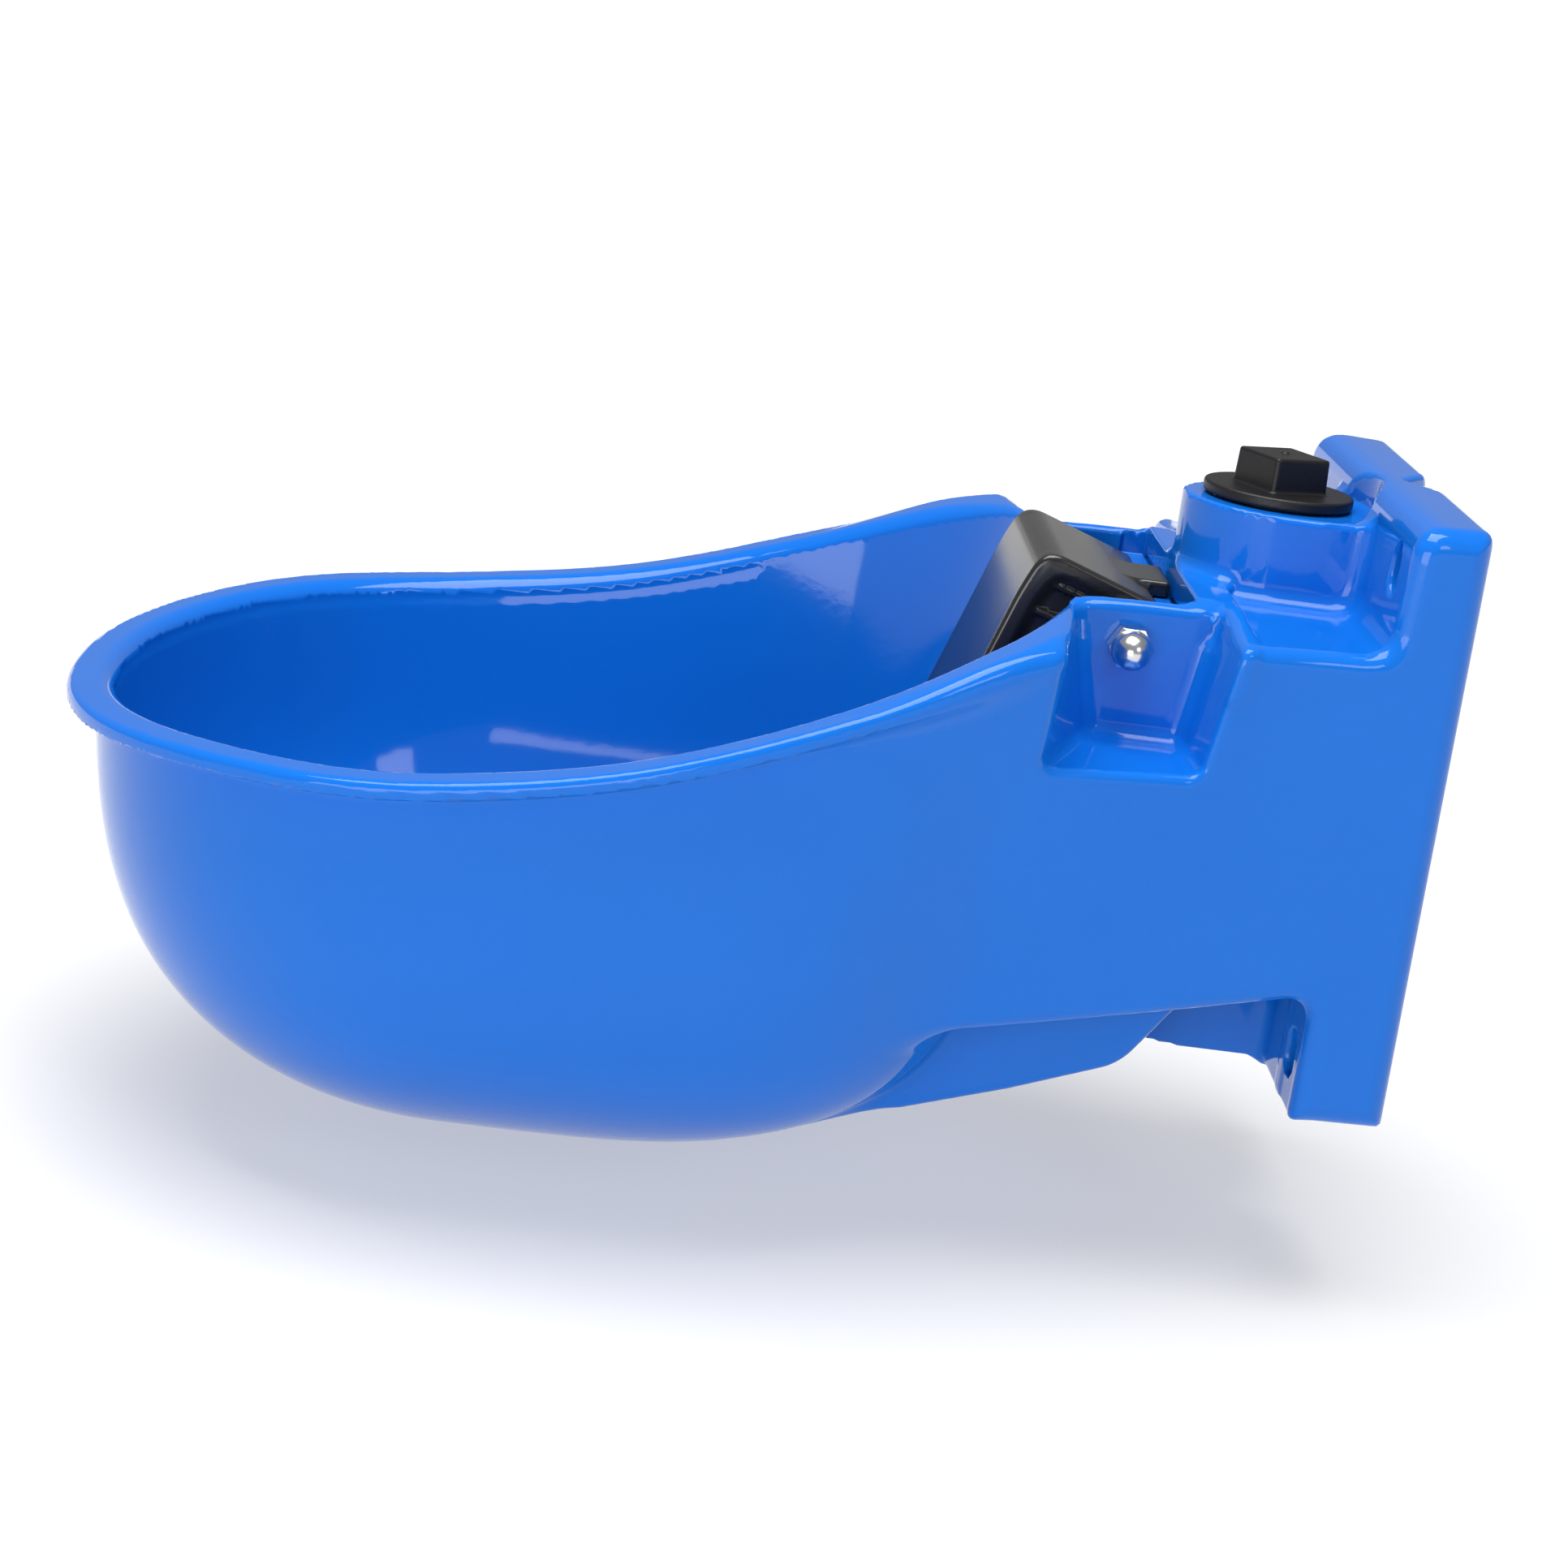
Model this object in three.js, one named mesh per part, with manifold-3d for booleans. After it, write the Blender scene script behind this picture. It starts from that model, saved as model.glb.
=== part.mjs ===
// Wall-mounted tongue drinking bowl for livestock, millimetres, +Z up.
// The origin is the centre of the four-bolt pattern on the wall plane y = 0.
// The bowl reaches out along -Y; X runs across it, and the part is symmetric in X.

import * as THREE from 'three';
import Module from 'manifold-3d';
import { mergeVertices } from 'three/addons/utils/BufferGeometryUtils.js';

// ---------------------------------------------------------------- driving dimensions

const WALL = 5; // moulded wall
const GAP = 0.3; // clearance between neighbouring pieces
const ROUND = 36; // segments of a large turned piece
const SMALL_ROUND = 20; // segments of a small turned piece
const FAR = 140; // further out than any surface of the moulding

const BOWL = {
  y: -235, // centre of the bowl in plan
  halfWidth: 112,
  front: 103.2, // from the centre to the front of the wall
  rear: 142, // from the centre to the rear of the wall
  brim: -22, // level that the depth is counted from
  depth: 99.2,
  frontPower: 2.15, // superellipse powers of the plan
  rearPower: 3.3,
  sideTurn: 3.1, // how late the side and front walls turn into the floor
  rearTurn: 7,
  draft: 0.13, // inward lean of the wall below the brim
  flare: 0.05, // outward lean above it
  liftFrom: -225, // the floor rises towards the wall from here
  lift: 0.0009,
};
const BEAD = { stand: 9, frontStand: 7, height: 6.5, endY: -97 };
const RIM = [[-360, -16.8], [-330, -12.2], [-300, -8.5], [-250, -4.5], [-200, 5],
  [-150, 22.8], [-116, 37.3], [-94, 44.6], [-60, 46]]; // y, z of the rim's top

const CHAMBER = { halfWidth: 52.5, rearY: -72, ledge: 39.4 };
const PLATE = { halfWidth: 71, halfHeight: 77, top: 20, foot: 24.5, frontWall: 4.5 };
const BLOCK = { top: 44.5, frontY: -60.5, foot: 0, cornerRadius: 7 };
const RIDGE = { top: 47.5, outerTop: 44, thickness: 5 };
const POCKET = {
  floor: 11.3,
  top: 60, // above everything round the pocket
  backFootY: -62.5,
  outerX: 92,
  outerFrontY: -103,
  innerFrontFootY: -88, // the front wall slants, most at its foot
  innerFrontTopY: -101,
};
const SKIRT = {
  upperZ: 7, // level of the upper row of half-widths
  lowerZ: -65,
  levels: [-140, -100, -65, -40, -15, 7, 30, 55, 85], // levels that the side walls pass through
  stations: [[0, 71, 71], [-25, 75, 73], [-55, 80.5, 75], [-96, 91.5, 77],
    [-132, 102, 79], [-165, 107, 80]], // y, half-width at upperZ, half-width at lowerZ
};

const COLUMN = { y: -41.4, radius: 24.5, bore: 12.1, top: 67.2, seatRadius: 15.5, seatDepth: 1.5 };
const NOTCH_RADIUS = 26; // clearance round the plug in the top of the plate
const GROOVE = { halfWidth: 15, depth: 9, wall: 5 }; // V for a round post
const BOLTS = { x: 57, z: 63, width: 9, length: 13.5, padWidth: 28, padHeight: 30 };

const HINGE = { y: -81.3, z: 35, bolt: 3, hole: 3.3, hexFlats: 10 };
const PADDLE = { halfWidth: 32, webX: 24, web: 3, hub: 7, padY: -100 };
const VALVE = { z: 3, bore: 11, bossRadius: 16, bossY: -73.5, stem: 2.5 };
const STRAINER = { rearY: -31.2, radius: 8.4, flange: 9 };
const PLUG = { flange: 20, flangeHeight: 3, side: 17.5, headHeight: 9, thread: 11.8, turn: 29 };

// ---------------------------------------------------------------- solids from three.js shapes

const wasm = await Module();
wasm.setup();

function solid(geometry) {
  const bare = geometry.clone();
  bare.deleteAttribute('normal');
  bare.deleteAttribute('uv');
  const merged = mergeVertices(bare, 1e-4);
  const corners = merged.index.array;
  const kept = [];
  for (let i = 0; i < corners.length; i += 3) {
    const [a, b, c] = corners.slice(i, i + 3);
    if (a !== b && b !== c && c !== a) kept.push(a, b, c);
  }
  return new wasm.Manifold(new wasm.Mesh({
    numProp: 3,
    vertProperties: Float32Array.from(merged.attributes.position.array),
    triVerts: Uint32Array.from(kept),
  }));
}

function union(solids) {
  return solids.reduce((whole, next) => whole.add(next));
}

function cut(whole, tools) {
  return tools.reduce((rest, tool) => rest.subtract(tool), whole);
}

function box(x0, x1, y0, y1, z0, z1) {
  const geometry = new THREE.BoxGeometry(x1 - x0, y1 - y0, z1 - z0);
  geometry.translate((x0 + x1) / 2, (y0 + y1) / 2, (z0 + z1) / 2);
  return solid(geometry);
}

// A closed outline from corners [u, v] or, with a rounded corner, [u, v, radius].
function outline(corners) {
  const shape = new THREE.Shape();
  const count = corners.length;
  corners.forEach(([u, v, radius = 0], i) => {
    const corner = new THREE.Vector2(u, v);
    const before = new THREE.Vector2(...corners[(i + count - 1) % count]);
    const after = new THREE.Vector2(...corners[(i + 1) % count]);
    const start = corner.clone().add(before.sub(corner).setLength(radius));
    const end = corner.clone().add(after.sub(corner).setLength(radius));
    if (i === 0) shape.moveTo(start.x, start.y);
    else shape.lineTo(start.x, start.y);
    if (radius > 0) shape.quadraticCurveTo(corner.x, corner.y, end.x, end.y);
  });
  shape.closePath();
  return shape;
}

const AXES = {
  x: new THREE.Vector3(1, 0, 0),
  y: new THREE.Vector3(0, 1, 0),
  z: new THREE.Vector3(0, 0, 1),
};

function extrude(shape, depth, segments = 5) {
  return new THREE.ExtrudeGeometry(shape, { depth, bevelEnabled: false, curveSegments: segments });
}

// A (y, z) outline drawn out along X.
function alongX(shape, x0, x1, segments) {
  const geometry = extrude(shape, x1 - x0, segments);
  geometry.applyMatrix4(new THREE.Matrix4().makeBasis(AXES.y, AXES.z, AXES.x));
  return solid(geometry.translate(x0, 0, 0));
}

// An (x, z) outline drawn out along Y.
function alongY(shape, y0, y1, segments) {
  const geometry = extrude(shape, y1 - y0, segments);
  const back = AXES.y.clone().negate();
  geometry.applyMatrix4(new THREE.Matrix4().makeBasis(AXES.x, AXES.z, back));
  return solid(geometry.translate(0, y1, 0));
}

// An (x, y) outline drawn out along Z.
function alongZ(shape, z0, z1, segments) {
  return solid(extrude(shape, z1 - z0, segments).translate(0, 0, z0));
}

// A profile of [radius, height] pairs turned about the Y direction.
function turned(profile, segments = SMALL_ROUND) {
  const points = profile.map(([radius, height]) => new THREE.Vector2(radius, height));
  return new THREE.LatheGeometry(points, segments);
}

function turnedAboutX(profile, y, z, segments) {
  return solid(turned(profile, segments).rotateZ(-Math.PI / 2).translate(0, y, z));
}

function turnedAboutY(profile, z, segments) {
  return solid(turned(profile, segments).translate(0, 0, z));
}

function turnedAboutZ(profile, x, y, segments) {
  return solid(turned(profile, segments).rotateX(Math.PI / 2).translate(x, y, 0));
}

function rod(radius, from, to) {
  return [[0, from], [radius, from], [radius, to], [0, to]];
}

function ring(inner, outer, from, to) {
  return [[inner, from], [outer, from], [outer, to], [inner, to], [inner, from]];
}

function hexagon(flats, centre) {
  const radius = flats / Math.sqrt(3);
  const corners = Array.from({ length: 6 }, (_, i) => {
    const angle = (i * Math.PI) / 3;
    return [centre[0] + radius * Math.cos(angle), centre[1] + radius * Math.sin(angle)];
  });
  return outline(corners);
}

// A closed skin through rings of equal count, capped at both ends.
function loft(rings) {
  const count = rings[0].length;
  const positions = rings.flat().flatMap((point) => point.toArray());
  const index = [];
  for (let j = 0; j < rings.length - 1; j += 1) {
    for (let i = 0; i < count; i += 1) {
      const a = j * count + i;
      const b = j * count + ((i + 1) % count);
      index.push(a, b, b + count, a, b + count, a + count);
    }
  }
  const last = (rings.length - 1) * count;
  const flat = (points) => points.map((point) => new THREE.Vector2(point.x, point.y));
  THREE.ShapeUtils.triangulateShape(flat(rings[0]), []).forEach(([a, b, c]) => index.push(c, b, a));
  THREE.ShapeUtils.triangulateShape(flat(rings.at(-1)), [])
    .forEach(([a, b, c]) => index.push(last + a, last + b, last + c));
  const geometry = new THREE.BufferGeometry();
  geometry.setAttribute('position', new THREE.Float32BufferAttribute(positions, 3));
  geometry.setIndex(index);
  return solid(geometry);
}

// ---------------------------------------------------------------- the blue moulding

const RING_STEPS = 52;
const DEPTH_STEPS = 10;
const LEDGE_END_Y = -66; // rear end of the ledge under the paddle's tab

function superellipse(angle, power) {
  const along = (value) => Math.sign(value) * Math.abs(value) ** (2 / power);
  return [along(Math.cos(angle)), along(Math.sin(angle))];
}

// One point of the bowl's skin: ratio is 0 at the brim, 1 at the floor, negative above.
function bowlPoint(angle, ratio, inset, frontInset) {
  const drop = (BOWL.depth - inset) * ratio;
  const lean = 1 - (ratio > 0 ? BOWL.draft : BOWL.flare) * (drop / BOWL.front);
  const towardsWall = Math.sin(angle) > 0;
  const rearShare = towardsWall ? Math.sin(angle) ** 2 : 0;
  const turn = BOWL.sideTurn + (BOWL.rearTurn - BOWL.sideTurn) * rearShare;
  const size = lean * Math.sqrt(1 - Math.max(ratio, 0) ** turn);
  const [across, along] = superellipse(angle, towardsWall ? BOWL.rearPower : BOWL.frontPower);
  const reach = towardsWall ? BOWL.rear - inset : BOWL.front - frontInset;
  const y = BOWL.y + reach * size * along;
  const lift = BOWL.lift * Math.max(0, y - BOWL.liftFrom) ** 2;
  return new THREE.Vector3((BOWL.halfWidth - inset) * size * across, y, BOWL.brim - drop + lift);
}

function bowlSolid(inset, frontInset = inset) {
  const floorRatio = 0.9995;
  const ratios = Array.from({ length: DEPTH_STEPS + 1 }, (_, i) => (
    floorRatio * Math.cos((i / DEPTH_STEPS) * (Math.PI / 2))));
  ratios.push(-0.8);
  const rings = ratios.map((ratio) => Array.from({ length: RING_STEPS }, (_, i) => (
    bowlPoint(((i + 0.5) / RING_STEPS) * 2 * Math.PI, ratio, inset, frontInset))));
  return loft(rings);
}

function rimCurve(drop = 0) {
  const points = RIM.map(([y, z]) => new THREE.Vector2(y, z - drop));
  return new THREE.SplineCurve(points).getPoints(28).map(({ x, y }) => [x, y]);
}

// Everything under the rim's top, seen from the side.
function underRim() {
  return alongX(outline([...rimCurve(), [-60, -FAR], [-360, -FAR]].reverse()), -FAR, FAR);
}

function bead() {
  const band = [...rimCurve(BEAD.height), ...rimCurve().reverse()]
    .filter(([y]) => y < BEAD.endY);
  return bowlSolid(-BEAD.stand, -BEAD.frontStand).intersect(alongX(outline(band), -FAR, FAR));
}

// Half the width of the side walls, at one station and level.
function skirtHalf([, upper, lower], z, inset) {
  const share = (z - SKIRT.lowerZ) / (SKIRT.upperZ - SKIRT.lowerZ);
  return lower + share * (upper - lower) - inset;
}

function skirtSolid(inset) {
  const rings = SKIRT.levels.map((z) => {
    const left = SKIRT.stations.map((station) => (
      new THREE.Vector3(-skirtHalf(station, z, inset), station[0], z)));
    const right = left.map((point) => new THREE.Vector3(-point.x, point.y, z)).reverse();
    return [...right, ...left];
  });
  return loft(rings);
}

// The side walls, the plate and the block between them, seen from the side.
function sideProfile() {
  return outline([
    [0, -PLATE.halfHeight, 2], [0, PLATE.halfHeight, 4], [-PLATE.top, PLATE.halfHeight, 6],
    [-PLATE.top - 1.5, BLOCK.top, BLOCK.cornerRadius], [BLOCK.frontY, BLOCK.top],
    [-94, 41], [-116, 32], [-150, 17.5], [-165, 10.5], [-165, -73],
    [-109, -61.5, 8], [-PLATE.foot, -43.5, 8], [-PLATE.foot, -PLATE.halfHeight, 1],
  ].reverse());
}

function chamberSolid() {
  const profile = outline([
    [-165, -103], [-119, -93.5], [-93, -85], [-65.5, -74.5, 3], [-53, -57], [-30, -22],
    [-30, CHAMBER.ledge], [BLOCK.frontY, CHAMBER.ledge], [BLOCK.frontY, FAR], [-165, FAR],
  ]);
  return alongX(profile, -CHAMBER.halfWidth, CHAMBER.halfWidth).intersect(underRim());
}

function chamberHollow() {
  const half = CHAMBER.halfWidth - WALL;
  const profile = outline([
    [-165, -98], [-119, -88.5], [-93, -80], [CHAMBER.rearY, -72.5, 5], [CHAMBER.rearY, FAR],
    [-165, FAR],
  ]);
  return alongX(profile, -half, half);
}

// The space above the rear ledge, between the hinge walls.
function ledgeCut() {
  const half = CHAMBER.halfWidth - WALL;
  return box(-half, half, CHAMBER.rearY - 1, LEDGE_END_Y, CHAMBER.ledge, FAR);
}

// A low kerb from each hinge wall's end to the corner of the block.
function ridge() {
  const inner = CHAMBER.halfWidth - WALL;
  const profile = [[inner, 30], [100, 30], [100, RIDGE.outerTop - 2],
    [CHAMBER.halfWidth, RIDGE.top], [inner, RIDGE.top]];
  const mirrored = profile.map(([x, z]) => [-x, z]).reverse();
  const back = BLOCK.frontY + RIDGE.thickness;
  return union([profile, mirrored].map((side) => alongY(outline(side), BLOCK.frontY, back)))
    .intersect(skirtSolid(0));
}

function columnSolid() {
  const post = turnedAboutZ(rod(COLUMN.radius, -PLATE.halfHeight, COLUMN.top), 0, COLUMN.y, ROUND);
  const filling = box(-COLUMN.radius, COLUMN.radius, COLUMN.y, -PLATE.top + 3,
    -PLATE.halfHeight, COLUMN.top);
  return post.add(filling);
}

function sideHollows(bowlOuter) {
  const shelf = POCKET.floor - WALL;
  const frontY = POCKET.outerFrontY - WALL;
  const profile = outline([
    [-165, -FAR], [-PLATE.foot, -FAR], [-PLATE.foot, BLOCK.top - WALL, 5],
    [BLOCK.frontY + WALL, BLOCK.top - WALL, 3], [BLOCK.frontY + WALL, shelf],
    [frontY, shelf], [frontY, 30], [-118, 26], [-150, 12], [-165, 5],
  ]);
  const half = CHAMBER.halfWidth;
  return skirtSolid(WALL).intersect(alongX(profile, -FAR, FAR))
    .subtract(box(-half, half, -2 * FAR, 0, -2 * FAR, FAR)).subtract(bowlOuter);
}

function middleHollow() {
  const half = CHAMBER.halfWidth - WALL;
  return box(-half, half, CHAMBER.rearY + WALL + 0.5, -PLATE.foot, -FAR, BLOCK.top - WALL)
    .subtract(columnSolid());
}

// Each pocket opens outwards and upwards, so a spanner reaches the hinge nut.
function hingePocket(side) {
  const level = (z, innerFrontY, backY) => {
    const ring = [[CHAMBER.halfWidth, innerFrontY], [POCKET.outerX, POCKET.outerFrontY],
      [FAR, POCKET.outerFrontY], [FAR, backY], [CHAMBER.halfWidth, backY]]
      .map(([x, y]) => new THREE.Vector3(side * x, y, z));
    return side > 0 ? ring : ring.reverse();
  };
  return loft([level(POCKET.floor, POCKET.innerFrontFootY, POCKET.backFootY),
    level(POCKET.top, POCKET.innerFrontTopY, BLOCK.frontY)]);
}

function boltSlots() {
  const straight = (BOLTS.length - BOLTS.width) / 2;
  const radius = BOLTS.width / 2;
  return [-1, 1].flatMap((side) => [-1, 1].map((level) => {
    const shape = new THREE.Shape();
    const x = side * BOLTS.x;
    const z = level * BOLTS.z;
    shape.absarc(x, z + straight, radius, 0, Math.PI);
    shape.absarc(x, z - straight, radius, Math.PI, 2 * Math.PI);
    shape.closePath();
    return alongY(shape, -PLATE.foot - 5, 5, 8);
  }));
}

// The plate is cored from behind, between the bolt pads, the groove and the edges.
function plateCores() {
  const floor = -PLATE.top + PLATE.frontWall;
  const inner = GROOVE.halfWidth + GROOVE.wall;
  const outer = PLATE.halfWidth - WALL;
  const padX = PLATE.halfWidth - BOLTS.padWidth;
  const padZ = PLATE.halfHeight - BOLTS.padHeight;
  const edge = PLATE.halfHeight - WALL;
  const rib = 2;
  const windows = [[inner, outer, rib, padZ], [inner, padX, padZ + 2 * rib, edge]];
  return [-1, 1].flatMap((side) => [-1, 1].flatMap((level) => windows.map(([a, b, c, d]) => {
    const xs = [side * a, side * b].sort((p, q) => p - q);
    const zs = [level * c, level * d].sort((p, q) => p - q);
    return box(xs[0], xs[1], floor, 1, zs[0], zs[1]);
  })));
}

function troughBody() {
  const bowlOuter = bowlSolid(0).intersect(underRim());
  const boss = turnedAboutY(rod(VALVE.bossRadius, VALVE.bossY, BLOCK.frontY), VALVE.z, ROUND);
  const sides = skirtSolid(0).intersect(alongX(sideProfile(), -FAR, FAR, 4));
  const shell = union([
    cut(sides.add(bead()), [hingePocket(-1), hingePocket(1)]),
    bowlOuter, chamberSolid(), ridge(), columnSolid(), boss,
    box(-CHAMBER.halfWidth, CHAMBER.halfWidth, LEDGE_END_Y, -PLATE.top, BLOCK.foot, BLOCK.top),
  ]);
  const groove = outline([[-GROOVE.halfWidth - 1, 1], [0, -GROOVE.depth - 0.6, 2],
    [GROOVE.halfWidth + 1, 1]]);
  return cut(shell, [
    bowlSolid(WALL), chamberHollow().subtract(boss), ledgeCut(), sideHollows(bowlOuter),
    middleHollow(),
    turnedAboutZ(rod(NOTCH_RADIUS, COLUMN.top, FAR), 0, COLUMN.y, ROUND),
    turnedAboutZ(rod(COLUMN.bore, -FAR, FAR), 0, COLUMN.y, ROUND),
    turnedAboutZ(rod(COLUMN.seatRadius, COLUMN.top - COLUMN.seatDepth, FAR), 0, COLUMN.y, ROUND),
    turnedAboutY(rod(VALVE.bore, VALVE.bossY - 1, COLUMN.y), VALVE.z, ROUND),
    turnedAboutY(rod(STRAINER.flange + 0.5, COLUMN.y - 1, STRAINER.rearY + 1), VALVE.z, ROUND),
    turnedAboutX(rod(HINGE.hole, -FAR, FAR), HINGE.y, HINGE.z),
    alongZ(groove, -FAR, FAR), ...boltSlots(), ...plateCores(),
  ]);
}

// ---------------------------------------------------------------- paddle and hinge

function paddle() {
  const { halfWidth, hub, webX, web, padY } = PADDLE;
  const outerSkin = [[-147, -72, 2], [-122, -1], [-107.5, 42], [-101, 52, 9], [-72.5, 42]];
  const innerSkin = [[-74, 37.5], [-99.5, 45.5, 7], [-103, 41], [-117.5, -1], [-142.5, -72, 1]];
  const band = alongX(outline([...outerSkin, ...innerSkin]), -halfWidth, halfWidth);
  const tabEnd = -66.8;
  const tab = box(-11, 11, -77, tabEnd, CHAMBER.ledge + GAP, 43.6);
  const webProfile = outline([
    [-122, -1], [-107, 42], [-100, 46.5], [-74, 38.5], [-73, 29, 3], [-88, 22], [-100, -8],
    [-128, -46], [-136, -46],
  ].reverse());
  const webs = [-webX - web, webX].map((x) => alongX(webProfile, x, x + web));
  const hubTube = turnedAboutX(rod(hub, -halfWidth, halfWidth), HINGE.y, HINGE.z);
  const pad = box(-8, 8, -116, padY, VALVE.z - 9, VALVE.z + 9);
  const rib = box(-1.5, 1.5, -138, -114, -60, VALVE.z)
    .intersect(alongX(outline([[-138, -62], [-124, -20], [-110, 4], [-118, 4], [-142, -62]]), -2, 2));
  const whole = union([band, tab, ...webs, hubTube, pad, rib]);
  return whole.subtract(turnedAboutX(rod(HINGE.hole, -FAR, FAR), HINGE.y, HINGE.z));
}

function hexSolid(flats, x0, x1) {
  return alongX(hexagon(flats, [HINGE.y, HINGE.z]), x0, x1);
}

function hingeBolt() {
  const seat = CHAMBER.halfWidth + GAP;
  const head = hexSolid(HINGE.hexFlats, -seat - 4, -seat)
    .intersect(turnedAboutX([[0, -seat - 4], [4.7, -seat - 4], [5.9, -seat - 3.3],
      [5.9, -seat], [0, -seat]], HINGE.y, HINGE.z));
  return head.add(turnedAboutX(rod(HINGE.bolt, -seat - 1, seat + 7), HINGE.y, HINGE.z));
}

function capNut() {
  const seat = CHAMBER.halfWidth + GAP;
  const arc = Array.from({ length: 7 }, (_, i) => {
    const angle = (i * Math.PI) / 12;
    return [4.7 * Math.cos(angle), seat + 7.3 + 4.7 * Math.sin(angle)];
  });
  const dome = turnedAboutX([[0, seat + 3], [4.7, seat + 3], ...arc], HINGE.y, HINGE.z);
  const base = hexSolid(HINGE.hexFlats, seat, seat + 5)
    .intersect(turnedAboutX([[0, seat], [5.1, seat], [5.9, seat + 0.6], [5.9, seat + 4.2],
      [5, seat + 5], [0, seat + 5]], HINGE.y, HINGE.z));
  return base.add(dome).subtract(turnedAboutX(rod(HINGE.hole, 0, seat + 7.6), HINGE.y, HINGE.z));
}

function hingeSpacer(side) {
  const near = PADDLE.halfWidth + GAP;
  const far = CHAMBER.halfWidth - WALL - GAP;
  const [from, to] = side > 0 ? [near, far] : [-far, -near];
  return turnedAboutX(ring(HINGE.hole, 6, from, to), HINGE.y, HINGE.z);
}

// ---------------------------------------------------------------- inlet plug

function inletPlug() {
  const under = COLUMN.top + GAP;
  const top = under + PLUG.flangeHeight;
  const crown = top + PLUG.headHeight;
  const turnedPart = turnedAboutZ([[0, under - 12], [PLUG.thread - 1, under - 12],
    [PLUG.thread, under - 11], [PLUG.thread, under], [PLUG.flange - 0.5, under],
    [PLUG.flange, under + 0.5], [PLUG.flange, top - 0.5], [PLUG.flange - 0.5, top], [0, top]],
  0, COLUMN.y, ROUND);
  const half = PLUG.side / 2;
  const square = extrude(outline([[-half, -half, 1], [half, -half, 1], [half, half, 1],
    [-half, half, 1]]), PLUG.headHeight + 1, 2);
  square.rotateZ(THREE.MathUtils.degToRad(PLUG.turn)).translate(0, COLUMN.y, top - 1);
  const nub = turnedAboutZ(rod(1, crown - 1, crown + 0.5), 0, COLUMN.y, 12);
  const hollow = turnedAboutZ(rod(8, under - 20, top - 3), 0, COLUMN.y);
  return union([turnedPart, solid(square), nub]).subtract(hollow);
}

function plugGasket() {
  const low = COLUMN.top - COLUMN.seatDepth + GAP;
  return turnedAboutZ(ring(12.3, COLUMN.seatRadius - GAP, low, COLUMN.top), 0, COLUMN.y, ROUND);
}

// ---------------------------------------------------------------- valve, turned about Y

const HEX_Y = -81.3; // front of the valve body's hexagon
const NOSE_Y = -88;
const SEAT_Y = -66; // shoulder that carries the seat ring
const BODY_REAR_Y = -42;

function valveBody() {
  const outer = turnedAboutY([[0, NOSE_Y], [7.4, NOSE_Y], [8, NOSE_Y + 0.6], [8, HEX_Y],
    [VALVE.bore - GAP, HEX_Y], [VALVE.bore - GAP, -54], [9.6, -53], [9.6, BODY_REAR_Y],
    [0, BODY_REAR_Y]], VALVE.z, ROUND);
  const hex = alongY(hexagon(24, [0, VALVE.z]), HEX_Y, VALVE.bossY - 1.8)
    .intersect(turnedAboutY(rod(13.4, HEX_Y, VALVE.bossY), VALVE.z, ROUND));
  const hollow = turnedAboutY([[0, NOSE_Y - 1], [6.2, NOSE_Y - 1], [6.2, -69], [4.2, -69],
    [4.2, SEAT_Y], [8, SEAT_Y], [8, BODY_REAR_Y + 1], [0, BODY_REAR_Y + 1]], VALVE.z);
  const outlet = turnedAboutZ(rod(2, VALVE.z - 12, VALVE.z), 0, HEX_Y - 2.4, 12);
  return outer.add(hex).subtract(hollow).subtract(outlet);
}

// Flow slots round a turned piece, as radial bars to cut away.
function radialBars(count, halfWidth, from, to, y0, y1) {
  return Array.from({ length: count }, (_, i) => {
    const bar = new THREE.BoxGeometry(2 * halfWidth, y1 - y0, to - from);
    bar.translate(0, (y0 + y1) / 2, (from + to) / 2);
    bar.rotateY((i * 2 * Math.PI) / count).translate(0, 0, VALVE.z);
    return solid(bar);
  });
}

function stemGuide() {
  const bush = turnedAboutY(ring(VALVE.stem + GAP, 5.9, NOSE_Y + 0.5, NOSE_Y + 4), VALVE.z);
  return cut(bush, radialBars(4, 1.1, 4.2, 8, NOSE_Y - 1, NOSE_Y + 5));
}

function strainer() {
  const { rearY: rear, radius, flange } = STRAINER;
  const front = BODY_REAR_Y + GAP;
  const inside = radius - 0.8;
  const cup = turnedAboutY([[inside, front], [flange, front], [flange, front + 1],
    [radius, front + 1], [radius, rear], [0, rear], [0, rear - 1.2], [inside, rear - 1.2],
    [inside, front]], VALVE.z);
  return cut(cup, radialBars(8, 1.6, 5, 12, front + 2.2, rear - 2.2));
}

function pushCap() {
  const dome = 8;
  const radius = 5;
  const tip = PADDLE.padY + GAP;
  const arc = Array.from({ length: 5 }, (_, i) => {
    const r = (radius * (i + 1)) / 5;
    return [r, tip + dome - Math.sqrt(dome * dome - r * r)];
  });
  return turnedAboutY([[0, tip], ...arc, [radius, -94.2], [VALVE.stem + GAP, -94.2],
    [VALVE.stem + GAP, -97.4], [0, -97.4]], VALVE.z);
}

function stemNut() {
  return alongY(hexagon(7, [0, VALVE.z]), -58.1, -55.9)
    .subtract(turnedAboutY(rod(VALVE.stem + GAP, -60, -50), VALVE.z));
}

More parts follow.
